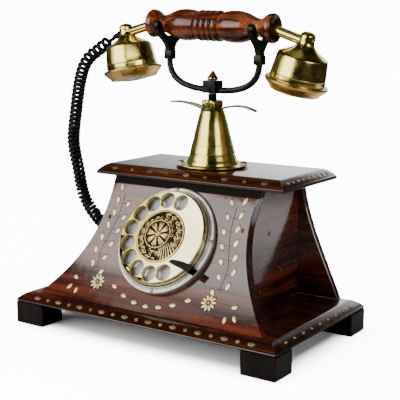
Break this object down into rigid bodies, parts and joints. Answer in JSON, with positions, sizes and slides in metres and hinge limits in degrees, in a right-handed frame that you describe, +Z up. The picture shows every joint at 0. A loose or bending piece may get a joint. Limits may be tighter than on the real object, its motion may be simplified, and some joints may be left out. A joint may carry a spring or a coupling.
{
  "type": "cradle telephone",
  "caption": "Wooden desk telephone with a rotary dial, a brass stand whose forked cradle holds the handset, and a coiled handset cord.",
  "frame": {"origin": "on the surface it stands on, under the middle of the box around the telephone without its handset cord", "axes": "+Z up, the dial faces -Y, and +X is to the right of someone who faces the dial"},
  "size_m": [0.2904, 0.1574, 0.2613],
  "materials": {
    "lacquered_rosewood": "glossy lacquer over streaky red-brown grain",
    "dark_wood": "dark stained, satin lacquer",
    "polished_brass": "polished",
    "old_brass": "aged, warm, half polished",
    "dark_bronze": "blackened bronze finish, worn at the edges",
    "steel": "plain machined",
    "dial_alloy": "turned, lightly tarnished",
    "white_enamel": "satin enamel",
    "white_plastic": "smooth",
    "black_plastic": "fine matte",
    "black_rubber": "matte",
    "cord_plastic": "soft black jacket",
    "copper_winding": "enamelled copper wire",
    "circuit_board": "green solder mask"
  },
  "bodies": {
    "base": {"back_panel": "lacquered_rosewood", "base_board": "lacquered_rosewood", "coiled_cord": "cord_plastic", "dial_case": "dial_alloy", "dial_mechanism": "steel", "dial_screw_1": "steel", "dial_screw_2": "steel", "dial_screw_3": "steel", "dial_screw_4": "steel", "finger_stop": "steel", "flange_screw_1": "steel", "flange_screw_2": "steel", "foot_front_left": "dark_wood", "foot_front_right": "dark_wood", "foot_rear_left": "dark_wood", "foot_rear_right": "dark_wood", "front_panel": "lacquered_rosewood", "gong_left": "polished_brass", "gong_right": "polished_brass", "hook_switch": "steel", "leaf_strip": "polished_brass", "line_socket": "black_plastic", "lock_nut": "polished_brass", "network_board": "circuit_board", "number_plate": "white_enamel", "plunger_spring": "steel", "ringer_bracket": "steel", "ringer_coil": "copper_winding", "side_grommet": "black_rubber", "side_panel_left": "lacquered_rosewood", "side_panel_right": "lacquered_rosewood", "stand_cone": "polished_brass", "stand_flange": "polished_brass", "terminal_block": "white_plastic", "top_board": "lacquered_rosewood"},
    "cradle": {"plunger": "dark_bronze", "cradle_block": "dark_bronze", "cradle_rod": "dark_bronze", "fork_collar_left": "dark_bronze", "fork_collar_right": "dark_bronze", "fork_left": "dark_bronze", "fork_right": "dark_bronze", "finial": "polished_brass"},
    "handset": {"handset_handle": "lacquered_rosewood", "arm_tube_left": "polished_brass", "arm_tube_right": "polished_brass", "transmitter_shell": "polished_brass", "transmitter_cap": "old_brass", "transmitter_grille": "white_plastic", "transmitter_unit": "black_plastic", "receiver_shell": "polished_brass", "receiver_cap": "old_brass", "receiver_grille": "white_plastic", "receiver_unit": "black_plastic", "cord_gland": "black_plastic"},
    "dial_wheel": {"finger_wheel": "polished_brass", "wheel_medallion": "old_brass", "dial_shaft": "steel"},
    "ringer_clapper": {"clapper": "steel"}
  },
  "joints": [
    {"name": "handset_lift", "type": "slide", "parent": "base", "child": "handset", "axis": [0, 0, 1], "range_m": [0, 0.06], "deforming": ["coiled_cord"]},
    {"name": "cradle_rise", "type": "slide", "parent": "base", "child": "cradle", "axis": [0, 0, 1], "range_m": [0, 0.005], "stiffness_N_per_m": 150, "springref_m": 0.012, "deforming": ["plunger_spring"]},
    {"name": "dial_turn", "type": "hinge", "parent": "base", "child": "dial_wheel", "pos_m": [0, -0.04295, 0.0835], "axis": [0, 0.849, -0.5284], "range_deg": [0, 318], "stiffness_Nm_per_rad": 0.01, "springref_deg": -57.3},
    {"name": "clapper_swing", "type": "hinge", "parent": "base", "child": "ringer_clapper", "pos_m": [0, 0.032, 0.0368], "axis": [0, 0, 1], "range_deg": [-3, 3]}
  ],
  "couplings": [
    {"joint": "cradle_rise", "follows": "handset_lift", "ratio": 0.083333}
  ]
}
